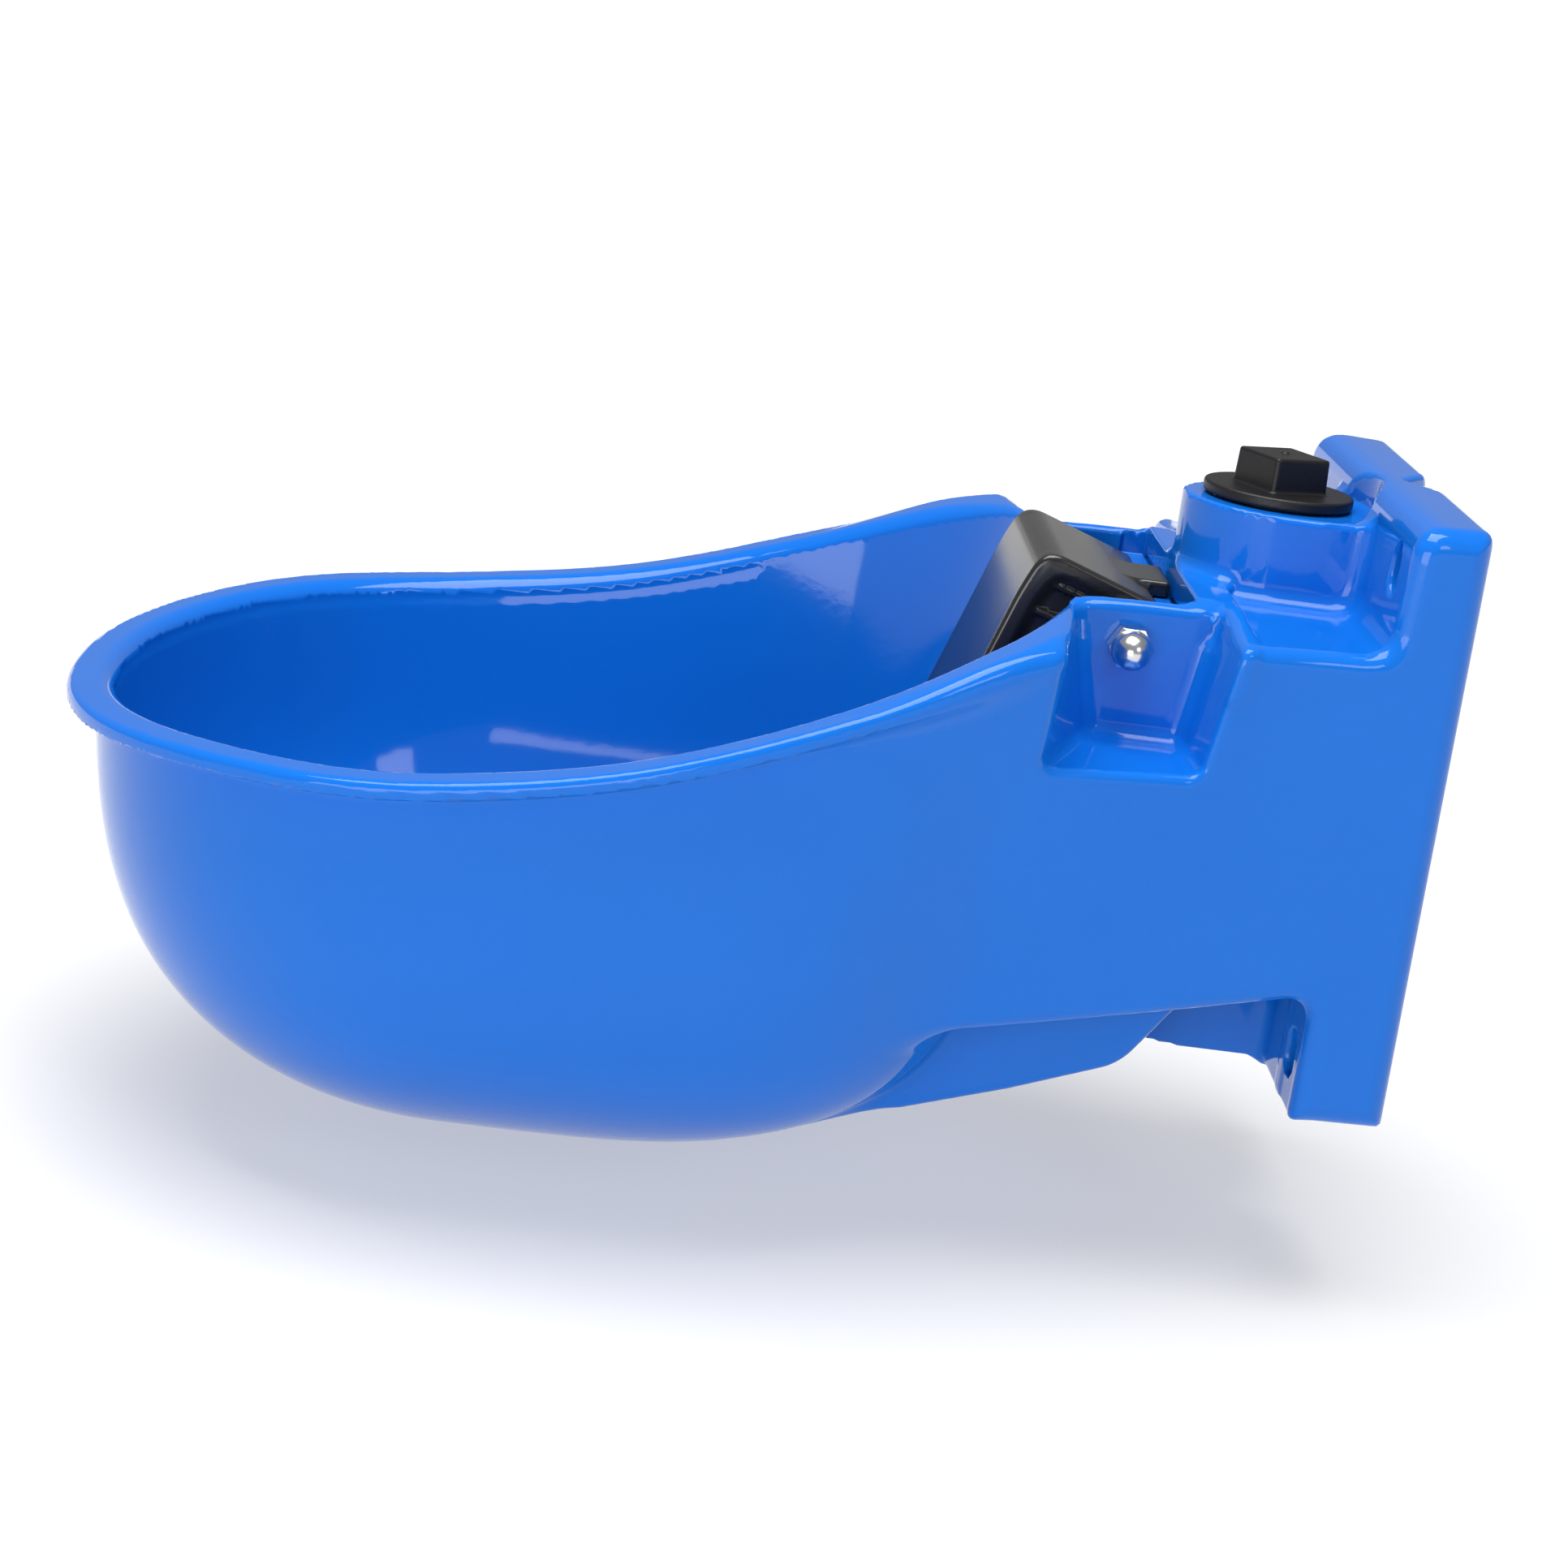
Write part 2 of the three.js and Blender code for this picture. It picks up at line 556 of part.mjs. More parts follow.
function valveSpring() {
  const turns = 5;
  const radius = 6.3;
  const from = -57.5;
  const to = -44.6;
  const points = Array.from({ length: turns * 10 + 1 }, (_, i) => {
    const angle = (i * 2 * Math.PI) / 10;
    const y = from + ((to - from) * i) / (turns * 10);
    return new THREE.Vector3(radius * Math.cos(angle), y, VALVE.z + radius * Math.sin(angle));
  });
  const wire = new THREE.Shape();
  wire.absarc(0, 0, 0.6, 0, 2 * Math.PI);
  return solid(new THREE.ExtrudeGeometry(wire, {
    steps: turns * 14, curveSegments: 3, extrudePath: new THREE.CatmullRomCurve3(points),
  }));
}

// ---------------------------------------------------------------- materials and assembly

function finish(color, roughness, metalness = 0) {
  return new THREE.MeshStandardMaterial({ color, roughness, metalness });
}

const trough = new THREE.Group();

function piece(name, shape, material) {
  const { vertProperties, triVerts } = shape.getMesh();
  const geometry = new THREE.BufferGeometry();
  geometry.setAttribute('position', new THREE.BufferAttribute(vertProperties, 3));
  geometry.setIndex(new THREE.BufferAttribute(triVerts, 1));
  geometry.computeVertexNormals();
  const mesh = new THREE.Mesh(geometry, material);
  mesh.name = name;
  trough.add(mesh);
}

const around = (inner, outer, from, to) => turnedAboutY(ring(inner, outer, from, to), VALVE.z);
const onStem = VALVE.stem + GAP;

piece('trough_body', troughBody(), finish(0x1c62d2, 0.25));
piece('paddle', paddle(), finish(0x0c0c0d, 0.3));
piece('hinge_bolt', hingeBolt(), finish(0xc4c9cf, 0.25, 1));
piece('cap_nut', capNut(), finish(0xd6dade, 0.15, 1));
piece('hinge_spacer_left', hingeSpacer(-1), finish(0x141415, 0.5));
piece('hinge_spacer_right', hingeSpacer(1), finish(0x141415, 0.5));
piece('inlet_plug', inletPlug(), finish(0x161617, 0.55));
piece('plug_gasket', plugGasket(), finish(0x101010, 0.8));
piece('valve_body', valveBody(), finish(0xb8924a, 0.3, 1));
piece('valve_washer', around(VALVE.bore, 14, VALVE.bossY - 1.5, VALVE.bossY - GAP),
  finish(0x7a2f22, 0.8));
piece('seat_ring', around(4.2, 7.7, SEAT_Y + GAP, SEAT_Y + 2.3), finish(0xe8e6dc, 0.4));
piece('stem_guide', stemGuide(), finish(0xe8e6dc, 0.4));
piece('valve_stem', turnedAboutY(rod(VALVE.stem, -97.1, -55.2), VALVE.z),
  finish(0xb9bdc2, 0.2, 1));
piece('push_cap', pushCap(), finish(0x1b1b1c, 0.45));
piece('valve_seal', around(onStem, 6.2, SEAT_Y + 2.6, SEAT_Y + 4.8), finish(0x121212, 0.8));
piece('seal_holder', around(onStem, 7.3, SEAT_Y + 5.1, SEAT_Y + 7.6), finish(0xb8924a, 0.3, 1));
piece('stem_nut', stemNut(), finish(0xb9bdc2, 0.25, 1));
piece('valve_spring', valveSpring(), finish(0xa9adb2, 0.25, 1));
piece('spring_retainer', around(4.5, 7.7, -43.7, -42.5), finish(0xa9adb2, 0.25, 1));
piece('strainer', strainer(), finish(0xd8d8d4, 0.4));

export default trough;
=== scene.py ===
"""A wall-mounted tongue drinking bowl for livestock, built as smooth closed skins round the CAD frame.

Every new piece is a distance function in millimetres in the row frame, negative inside, so that
its edges can be rounded as a moulding's or a turned part's are. +X points at the camera's side,
-Y at the front of the bowl and +Z up.
"""

import math

import bpy
import numpy as np
from mathutils import Matrix, Vector


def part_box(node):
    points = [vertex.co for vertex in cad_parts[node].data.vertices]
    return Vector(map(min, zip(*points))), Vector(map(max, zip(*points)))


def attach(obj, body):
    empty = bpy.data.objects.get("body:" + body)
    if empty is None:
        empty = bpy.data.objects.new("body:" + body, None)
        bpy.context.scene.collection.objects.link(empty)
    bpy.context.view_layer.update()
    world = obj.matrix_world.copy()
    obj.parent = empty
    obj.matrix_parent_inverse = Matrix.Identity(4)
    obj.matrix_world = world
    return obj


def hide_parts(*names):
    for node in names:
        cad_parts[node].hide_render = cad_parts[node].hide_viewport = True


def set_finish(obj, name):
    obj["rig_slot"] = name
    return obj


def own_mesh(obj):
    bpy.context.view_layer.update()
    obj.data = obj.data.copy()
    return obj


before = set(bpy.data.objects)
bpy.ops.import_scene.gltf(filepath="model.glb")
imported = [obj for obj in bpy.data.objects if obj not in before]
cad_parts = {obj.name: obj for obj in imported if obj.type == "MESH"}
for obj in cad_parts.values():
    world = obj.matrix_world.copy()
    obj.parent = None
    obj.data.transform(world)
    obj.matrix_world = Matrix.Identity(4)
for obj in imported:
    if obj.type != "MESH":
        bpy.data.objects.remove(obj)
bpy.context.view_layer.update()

# ---------------------------------------------------------------- dimensions, millimetres

WALL = 5.0
BOWL = {
    "y": -235.0,
    "half_width": 112.0,
    "front": 103.2,
    "rear": 142.0,
    "brim": -22.0,
    "depth": 99.2,
    "front_power": 2.15,
    "rear_power": 3.3,
    "side_turn": 3.1,
    "rear_turn": 7.0,
    "draft": 0.13,
    "flare": 0.05,
    "lift_from": -225.0,
    "lift": 0.0009,
}
LIP = {"side": 9.0, "front": 7.0, "face": 4.3, "end_y": -97.0}
RIM = [(-360, -16.8), (-330, -12.2), (-300, -8.5), (-250, -4.5), (-200, 5), (-150, 22.8),
       (-116, 37.3), (-94, 44.6), (-60, 46), (20, 46)]  # y, z of the rim's top
SKIRT_UPPER = [(-170, 107.7), (-165, 107), (-132, 102), (-96, 91.5), (-55, 80.5), (-25, 75), (0, 71),
               (4, 70.4)]  # y and half width of the side walls, high up
SKIRT_LOWER = [(-170, 80.2), (-165, 80), (-132, 79), (-96, 77), (-55, 75), (-25, 73), (0, 71),
               (4, 70.7)]  # and low down
SKIRT_LEVELS = (7.0, -65.0)  # z of the two rows above
CHAMBER_HALF = 52.5  # half the distance between the outer faces of the two hinge walls
POCKET = {"floor": 11.3, "top": 60.0, "front": -103.0, "back": -64.6, "side": 92.0, "width": 39.5}
KERB = {"front": -67.0, "back": -54.0, "foot": 30.0, "top": 47.5, "fall": 0.116}
BLOCK_TOP = 44.5  # the flat top between the hinge walls and the plate
COLUMN_Y, COLUMN_RADIUS, COLUMN_TOP = -41.4, 24.5, 67.2
COLUMN = {"middle_z": -4.9, "half_height": 72.1, "bore": 12.1, "seat": 15.5, "seat_depth": 1.5}
VALVE_Z = 3.0
BOSS = {"radius": 16.0, "front": -73.5, "back": -60.5, "bore": 11.0, "way_in": 9.5}
HINGE_Y, HINGE_Z, HINGE_BORE = -81.3, 35.0, 3.3
BOLT_SLOTS = {"x": 57.0, "z": 63.0, "radius": 4.5, "run": 1.6}
CORE_BACK = -15.5  # y of the bottom of the plate's weight-saving cores
MOST_TRIANGLES = 190000

# ---------------------------------------------------------------- distances


def soft_union(a, b, radius):
    """Either shape, with a fillet of that radius where they meet."""
    meet = np.hypot(np.maximum(radius - a, 0), np.maximum(radius - b, 0))
    return np.maximum(radius, np.minimum(a, b)) - meet


def soft_both(a, b, radius):
    """What both shapes hold, with the edge between them rounded."""
    meet = np.hypot(np.maximum(radius + a, 0), np.maximum(radius + b, 0))
    return np.minimum(-radius, np.maximum(a, b)) + meet


def soft_cut(a, b, radius):
    return soft_both(a, -b, radius)


def slab(value, low, high):
    return np.abs(value - (low + high) / 2) - (high - low) / 2


def outline(*corners):
    """Points of a closed outline through corners (u, v) or (u, v, radius)."""
    points = []
    for i, (u, v, *radius) in enumerate(corners):
        corner = np.array([u, v], float)
        if not radius:
            points.append(corner)
            continue
        before = np.array(corners[i - 1][:2], float) - corner
        after = np.array(corners[(i + 1) % len(corners)][:2], float) - corner
        start = corner + before / np.hypot(*before) * radius[0]
        end = corner + after / np.hypot(*after) * radius[0]
        for t in np.linspace(0, 1, 12):
            points.append((1 - t) ** 2 * start + 2 * t * (1 - t) * corner + t**2 * end)
    return np.array(points)


def flat_distance(points, u, v):
    """Distance to a closed outline in the plane of u and v."""
    nearest, inside = np.inf, False
    for (au, av), (bu, bv) in zip(points, np.roll(points, -1, axis=0)):
        eu, ev = bu - au, bv - av
        t = np.clip(((u - au) * eu + (v - av) * ev) / (eu * eu + ev * ev), 0, 1)
        nearest = np.minimum(nearest, (u - au - t * eu) ** 2 + (v - av - t * ev) ** 2)
        inside = inside ^ (((av > v) != (bv > v)) & (u < eu * (v - av) / (ev or 1e-9) + au))
    return np.where(inside, -1, 1) * np.sqrt(nearest)


def spline(points, steps=24):
    """A smooth line through points, as arrays of its two coordinates."""
    p = np.array([points[0], *points, points[-1]], float)
    t = np.linspace(0, 1, steps, endpoint=False)[:, None]
    runs = []
    for a, b, c, d in zip(p, p[1:], p[2:], p[3:]):
        start, end = (c - a) / 2, (d - b) / 2
        runs.append((2 * b - 2 * c + start + end) * t**3 + (3 * c - 3 * b - 2 * start - end) * t**2
                    + start * t + b)
    return np.concatenate([*runs, p[-1:]]).T


def hexagon(u, v, flats):
    """Distance to a hexagon that many millimetres across its flats."""
    turns = [math.radians(a) for a in (30, 90, 150)]
    return np.max([np.abs(u * math.cos(a) + v * math.sin(a)) for a in turns], axis=0) - flats / 2


def step(value, low, high):
    """0 below low, 1 above high, smooth between."""
    t = np.clip((value - low) / (high - low), 0, 1)
    return t * t * (3 - 2 * t)


def from_hinge(y, z):
    return np.hypot(y - HINGE_Y, z - HINGE_Z)


def from_column(x, y):
    return np.hypot(x, y - COLUMN_Y)


def from_valve(x, z):
    return np.hypot(x, z - VALVE_Z)


# ---------------------------------------------------------------- skins from distances


def grid_skin(field):
    """The zero surface of a field on a grid: points in grid steps, and quads that face out."""
    cells = np.array(field.shape) - 1
    strides = np.array([cells[1] * cells[2], cells[2], 1])
    unit = np.eye(3, dtype=int)
    owners, spots, quads = [], [], []
    for axis in range(3):
        near = np.argwhere(np.diff(field < 0, axis=axis))
        a, b = field[tuple(near.T)], field[tuple((near + unit[axis]).T)]
        side, up = unit[(axis + 1) % 3], unit[(axis + 2) % 3]
        ring = [near - side - up, near - up, near, near - side]
        ids = np.stack([cell @ strides for cell in ring], axis=1)
        ids[a > 0] = ids[a > 0, ::-1]
        quads.append(ids)
        owners.append(ids.ravel())
        spots.append(np.repeat(near + unit[axis] * (a / (a - b))[:, None], 4, axis=0))
    kept, index = np.unique(np.concatenate(owners), return_inverse=True)
    spots = np.concatenate(spots)
    total = np.stack([np.bincount(index, spots[:, k]) for k in range(3)], axis=1)
    return total / np.bincount(index)[:, None], np.searchsorted(kept, np.concatenate(quads))


def slopes(distance, points, reach=0.05):
    """The distance at each point and its gradient."""
    value = distance(*points.T)
    moved = [distance(*(points + reach * unit).T) for unit in np.eye(3)]
    return value, (np.stack(moved, axis=1) - value[:, None]) / reach


def settle(distance, points, most, rounds=3):
    """Moves points onto the zero surface, by no more than most each time."""
    for _ in range(rounds):
        value, gradient = slopes(distance, points)
        size = np.maximum((gradient**2).sum(axis=1), 0.05)
        move = -gradient * (value / size)[:, None]
        length = np.maximum(np.linalg.norm(move, axis=1), 1e-9)
        points = points + move * np.minimum(1, most / length)[:, None]
    return points


def thinned(mesh, share, loose):
    """A mesh with that share of its triangles, flat places first, taken from its loose vertices."""
    holder = bpy.data.objects.new("holder", mesh)
    bpy.context.scene.collection.objects.link(holder)
    holder.vertex_groups.new(name="loose").add(np.flatnonzero(loose).tolist(), 1.0, "REPLACE")
    thin = holder.modifiers.new("thin", "DECIMATE")
    thin.ratio = share
    thin.vertex_group = "loose"
    graph = bpy.context.evaluated_depsgraph_get()
    made = bpy.data.meshes.new_from_object(holder.evaluated_get(graph))
    bpy.data.objects.remove(holder)
    return made


def mesh_of(name, points, faces):
    mesh = bpy.data.meshes.new(name)
    mesh.from_pydata(points.tolist(), [], faces.tolist())
    return mesh


def moulded(name, distance, low, high, pitch, mirrored=False, crisp=None):
    """A new object for the shape between two corners, skinned at that pitch.

    Where crisp says so the skin keeps all its triangles."""
    axes = [np.arange(a, b + pitch, pitch) for a, b in zip(low, high)]
    if mirrored:
        axes[0] = (np.arange(math.ceil(high[0] / pitch)) + 0.5) * pitch
    x, y, z = np.meshgrid(*axes, indexing="ij", sparse=True)
    field = np.broadcast_to(distance(x, y, z), [len(a) for a in axes])
    if mirrored:
        field = np.concatenate([field[::-1], field])
        axes[0] = np.concatenate([-axes[0][::-1], axes[0]])
    points, quads = grid_skin(field)
    points = np.array([a[0] for a in axes]) + points * pitch
    points = settle(distance, points, pitch / 3)
    mesh = mesh_of(name, points, quads)
    if 2 * len(quads) > MOST_TRIANGLES:
        loose = np.full(len(points), True) if crisp is None else ~crisp(*points.T)
        mesh = thinned(mesh, MOST_TRIANGLES / (2 * len(quads)), loose)
        points = np.zeros(3 * len(mesh.vertices))
        mesh.vertices.foreach_get("co", points)
        points = settle(distance, points.reshape(-1, 3), pitch / 4, 2)
    normals = slopes(distance, points)[1]
    normals /= np.maximum(np.linalg.norm(normals, axis=1), 1e-9)[:, None]
    mesh.vertices.foreach_set("co", (points / 1000).ravel())
    mesh.update()
    mesh.shade_smooth()
    mesh.normals_split_custom_set_from_vertices(normals.tolist())
    made = bpy.data.objects.new(name, mesh)
    bpy.context.scene.collection.objects.link(made)
    return made


# ---------------------------------------------------------------- the blue moulding

RIM_LINE = spline(RIM)
RIM_SLOPE = np.gradient(RIM_LINE[1], RIM_LINE[0])
UPPER_LINE = spline(SKIRT_UPPER)
LOWER_LINE = spline(SKIRT_LOWER)
SIDE_OUTLINE = outline(
    (0, -77, 2), (0, 77, 4), (-20, 77, 8), (-21.5, 44.5, 7), (-60.5, 44.5), (-94, 43.8), (-116, 36.2, 6),
    (-150, 17.5), (-165, 10.5), (-165, -73), (-109, -61.5, 8), (-24.5, -43.5, 8), (-24.5, -77, 2))
CHAMBER_OUTLINE = outline(
    (-165, -103), (-119, -93.5), (-93, -85), (-65.5, -74.5, 5), (-53, -57), (-30, -22), (-30, 39.4),
    (-60.5, 39.4), (-60.5, 140), (-165, 140))
CHAMBER_HOLLOW = outline((-165, -98), (-119, -88.5), (-93, -80), (-72, -72.5, 6), (-72, 140), (-165, 140))
HOLLOW_OUTLINE = outline(
    (-165, -140), (-24.5, -140), (-24.5, 39.5, 5), (-55.5, 39.5, 3), (-55.5, 6.3), (-108, 6.3),
    (-108, 30), (-118, 26), (-150, 12), (-165, 5))
GROOVE_OUTLINE = outline((-16, 1), (0, -9.6, 2), (16, 1))


def bowl_level(x, y, z):
    """Below 0 inside the bowl's outer skin, and how much of each point's direction is along Y."""
    drop = BOWL["brim"] - z + BOWL["lift"] * np.maximum(0, y - BOWL["lift_from"]) ** 2
    bend = np.hypot(drop, 24)  # the wall's draft changes to its flare over this height
    draft, flare = BOWL["draft"], BOWL["flare"]
    lean = 1 + (0.6 - draft * (bend + drop) / 2 + flare * (bend - drop) / 2) / BOWL["front"]
    rear = y > BOWL["y"]
    power = np.where(rear, BOWL["rear_power"], BOWL["front_power"])
    reach = np.where(rear, BOWL["rear"], BOWL["front"])
    across = (np.abs(x) / (BOWL["half_width"] * lean)) ** power
    along = (np.abs(y - BOWL["y"]) / (reach * lean)) ** power
    share = along / (across + along + 0.02)  # 0.02 keeps it smooth about the bowl's middle
    turn = BOWL["side_turn"] + np.where(rear, BOWL["rear_turn"] - BOWL["side_turn"], 0) * share
    deep = np.maximum(drop / BOWL["depth"], 0) ** turn
    return np.sqrt((across + along) ** (2 / power) + deep + 1e-9) - 1, share


def bowl_distance(x, y, z):
    level, share = bowl_level(x, y, z)
    reach = 0.4
    size = 0
    for a, b, c in np.eye(3) * reach:
        size = size + ((bowl_level(x + a, y + b, z + c)[0] - level) / reach) ** 2
    return np.clip(level / np.sqrt(np.maximum(size, 1e-6)), -60, 60), share


def over_rim(y, z):
    """Height over the rim's top, square to it."""
    rise = np.interp(y, RIM_LINE[0], RIM_SLOPE)
    return (z - np.interp(y, *RIM_LINE)) / np.hypot(1, rise)


def lip_distance(wall, share, over, y):
    """The flat band that stands out from the top of the bowl's wall."""
    stand = LIP["side"] - np.where(y < BOWL["y"], LIP["side"] - LIP["front"], 0) * share
    out = wall * np.where(wall > 0, LIP["side"] / stand, 1) - LIP["side"]
    under = 0.17 * out - over - LIP["face"]
    band = soft_both(soft_both(over, out, 2.3), under, 0.4)
    return soft_both(band, y - LIP["end_y"], 1)


def beyond_skirt(x, y, z):
    """Distance out from the side walls."""
    upper, lower = np.interp(y, *UPPER_LINE), np.interp(y, *LOWER_LINE)
    high, low = SKIRT_LEVELS
    half = lower + (z - low) / (high - low) * (upper - lower)
    return 0.96 * (np.abs(x) - half)


def pocket_distance(x, y, z):
    """The pocket beside the hinge wall, open outwards and upwards."""
    rise = (z - POCKET["floor"]) / (POCKET["top"] - POCKET["floor"])
    slant = np.clip((POCKET["side"] - np.abs(x)) / POCKET["width"], 0, 1.2)
    front = 0.94 * (POCKET["front"] + 3.2 * rise + slant * (15 - 15 * rise) - y)
    back = y - POCKET["back"] - 7.4 * rise - 0.035 * (np.abs(x) - CHAMBER_HALF)
    corner = soft_both(front, POCKET["floor"] - z, 3)
    return np.maximum(soft_both(corner, back, 3), CHAMBER_HALF - 4 - np.abs(x))


def column_distance(x, y, z):
    """The inlet column, filled in as far as the plate."""
    plan = np.hypot(x, np.minimum(y - COLUMN_Y, 0)) - COLUMN_RADIUS
    post = soft_both(plan, np.abs(z - COLUMN["middle_z"]) - COLUMN["half_height"], 1)
    return np.maximum(post, y + 17)


def boss_distance(x, y, z):
    """The round boss that the valve screws into."""
    return soft_both(from_valve(x, z) - BOSS["radius"], slab(y, BOSS["front"], BOSS["back"]), 1)


def shell_distance(x, y, z, wall, share, over):
    """The moulding before its hollows are cut."""
    side = beyond_skirt(x, y, z)
    pocket = pocket_distance(x, y, z)
    sides = soft_both(side, flat_distance(SIDE_OUTLINE, y, z), 4 + 2 * step(y, -28, -16))
    lip = lip_distance(wall, share, over, y)
    bowl = soft_union(np.maximum(wall, over + 3), lip, 2)
    kerb_top = KERB["top"] - KERB["fall"] * np.maximum(np.abs(x) - CHAMBER_HALF, 0)
    kerb = soft_both(slab(y, KERB["front"], KERB["back"]), slab(z, KERB["foot"], kerb_top), 1.8)
    kerb = soft_both(kerb, side, 1.8)
    outer = soft_union(soft_union(bowl, sides, 7), kerb, 1.5)
    outer = soft_cut(outer, pocket, 2.5 + 1.2 * step(z, 18, 38) * step(-y, 80, 95))
    chamber = soft_both(np.abs(x) - CHAMBER_HALF, flat_distance(CHAMBER_OUTLINE, y, z), 4)
    chamber = soft_both(chamber, over, 2.2)
    middle = np.maximum(np.maximum(np.abs(x) - CHAMBER_HALF, slab(y, -66, -20)), slab(z, 0, BLOCK_TOP))
    whole = np.minimum(soft_union(outer, chamber, 4), middle)
    whole = soft_union(whole, column_distance(x, y, z), 4.5)
    return np.minimum(whole, boss_distance(x, y, z))


def hollows(whole, x, y, z, wall):
    """Cuts the bowl, the paddle's chamber and the spaces behind the side walls out of the whole."""
    inner = CHAMBER_HALF - WALL
    chamber = soft_both(np.abs(x) - inner, flat_distance(CHAMBER_HOLLOW, y, z), 5)
    chamber = soft_cut(chamber, boss_distance(x, y, z), 2)
    rim_edge = 2.5 + 2.4 * step(-y, 96, 118)
    whole = soft_cut(whole, soft_union(wall + WALL, chamber, 4), rim_edge)
    ledge = np.maximum(np.maximum(np.abs(x) - inner, slab(y, -73, -66)), 39.4 - z)
    whole = soft_cut(whole, ledge, 1)
    hollow = soft_both(beyond_skirt(x, y, z) + WALL, flat_distance(HOLLOW_OUTLINE, y, z), 3)
    hollow = soft_cut(soft_both(hollow, CHAMBER_HALF - np.abs(x), 3), wall, 3)
    whole = soft_cut(whole, hollow, 1.5)
    middle = soft_both(np.abs(x) - inner, slab(y, -66.5, -24.5), 3)
    middle = soft_cut(soft_both(middle, z - 39.5, 3), column_distance(x, y, z), 3)
    return soft_cut(whole, middle, 1.5)


def bores(whole, x, y, z):
    """Cuts the column's bore, the valve's bore and the hinge's holes."""
    plan = from_column(x, y)
    whole = soft_cut(whole, soft_both(plan - 26, COLUMN_TOP - z, 1), 1)
    whole = soft_cut(whole, plan - COLUMN["bore"], 0.8)
    seat = np.maximum(plan - COLUMN["seat"], COLUMN_TOP - COLUMN["seat_depth"] - z)
    whole = soft_cut(whole, seat, 0.4)
    bore = from_valve(x, z)
    whole = soft_cut(whole, np.maximum(bore - BOSS["bore"], slab(y, -75, COLUMN_Y)), 0.5)
    whole = np.maximum(whole, -np.maximum(bore - BOSS["way_in"], slab(y, COLUMN_Y - 1, -30.2)))
    return soft_cut(whole, from_hinge(y, z) - HINGE_BORE, 0.4)


def plate_cuts(whole, x, y, z):
    """Cuts the post groove, the bolt slots and the cores in the plate's back."""
    whole = soft_cut(whole, flat_distance(GROOVE_OUTLINE, x, y), 1.5)
    x_side, z_side = np.abs(x) - BOLT_SLOTS["x"], np.abs(z) - BOLT_SLOTS["z"]
    run = np.clip(z_side, -BOLT_SLOTS["run"], BOLT_SLOTS["run"])
    slot = np.hypot(x_side, z_side - run) - BOLT_SLOTS["radius"]
    whole = soft_cut(whole, np.maximum(slot, slab(y, -30, 6)), 0.8)
    low_core = soft_both(slab(np.abs(x), 20, 66), slab(np.abs(z), 2, 47), 2)
    high_core = soft_both(slab(np.abs(x), 20, 43), slab(np.abs(z), 51, 72), 2)
    cores = soft_both(np.minimum(low_core, high_core), slab(y, CORE_BACK, 20), 1.5)
    return soft_cut(whole, cores, 0.8)


def body_distance(x, y, z):
    wall, share = bowl_distance(x, y, z)
    whole = shell_distance(x, y, z, wall, share, over_rim(y, z))
    return plate_cuts(bores(hollows(whole, x, y, z, wall), x, y, z), x, y, z)


def near_rim(x, y, z):
    """Where the skin of the rim is, whose highlights show every facet."""
    return (y < -60) & (np.abs(over_rim(y, z) + 6) < 9)


body = moulded("body_moulding", body_distance, (0, -347.3, -127.7), (126, 6, 82), 1.5, mirrored=True,
               crisp=near_rim)
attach(body, "housing")
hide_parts("trough_body")
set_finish(body, "blue_plastic")

# ---------------------------------------------------------------- the paddle

PADDLE_OUTLINE = outline(
    (-147, -72, 2), (-122, -1, 20), (-107.8, 41.5, 4.5), (-102.8, 52.4, 6), (-72.5, 42), (-74, 37.5),
    (-98.5, 46, 3.5), (-103, 40, 3.5), (-117.5, -1, 20), (-142.5, -72, 1))
WEB_OUTLINE = outline(
    (-120, -1), (-105, 41), (-101, 48.5), (-74, 39.5), (-73, 29, 3), (-88, 22), (-100, -8),
    (-128, -46), (-136, -46))
PADDLE = {"half_width": 32.0, "web": (26.5, 30.2), "hub": 7.0, "tab_half": 11.0}
# the raised frame on each side of the paddle
PANEL = {"y": -96.1, "z": 38.2, "tilt": 18.0, "length": 17.0, "height": 8.0, "line": 0.9}


def paddle_distance(x, y, z):
    width = np.abs(x)
    band = soft_both(width - PADDLE["half_width"], flat_distance(PADDLE_OUTLINE, y, z), 1.4)
    web = soft_both(slab(width, *PADDLE["web"]), flat_distance(WEB_OUTLINE, y, z), 1)
    tilt = math.radians(PANEL["tilt"])
    along = (y - PANEL["y"]) * math.cos(tilt) - (z - PANEL["z"]) * math.sin(tilt)
    across = (y - PANEL["y"]) * math.sin(tilt) + (z - PANEL["z"]) * math.cos(tilt)
    edge = soft_both(np.abs(along) - PANEL["length"] / 2, np.abs(across) - PANEL["height"] / 2, 2)
    frame_line = soft_both(np.abs(edge) - PANEL["line"], slab(width, 28, 31.3), 0.6)
    tab = soft_both(width - PADDLE["tab_half"], slab(z, 39.7, 43.9), 0.9)
    tab = soft_both(tab, slab(y, -80, -66.8), 0.9)
    hub = soft_both(from_hinge(y, z) - PADDLE["hub"], width - PADDLE["half_width"], 0.8)
    pad = soft_both(soft_both(width - 8, slab(z, -6, 12), 1), slab(y, -115, -100), 1)
    whole = soft_union(soft_union(band, web, 3), frame_line, 0.6)
    whole = soft_union(soft_union(whole, tab, 1.2), hub, 1.5)
    whole = soft_union(whole, pad, 1.5)
    return soft_cut(whole, from_hinge(y, z) - HINGE_BORE, 0.4)


paddle = moulded("paddle_moulding", paddle_distance, (0, -151.3, -76.4), (34, -64, 56), 0.9,
                 mirrored=True)
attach(paddle, "paddle")
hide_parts("paddle")
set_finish(paddle, "black_plastic")

# ---------------------------------------------------------------- plug, bolt, nut and valve

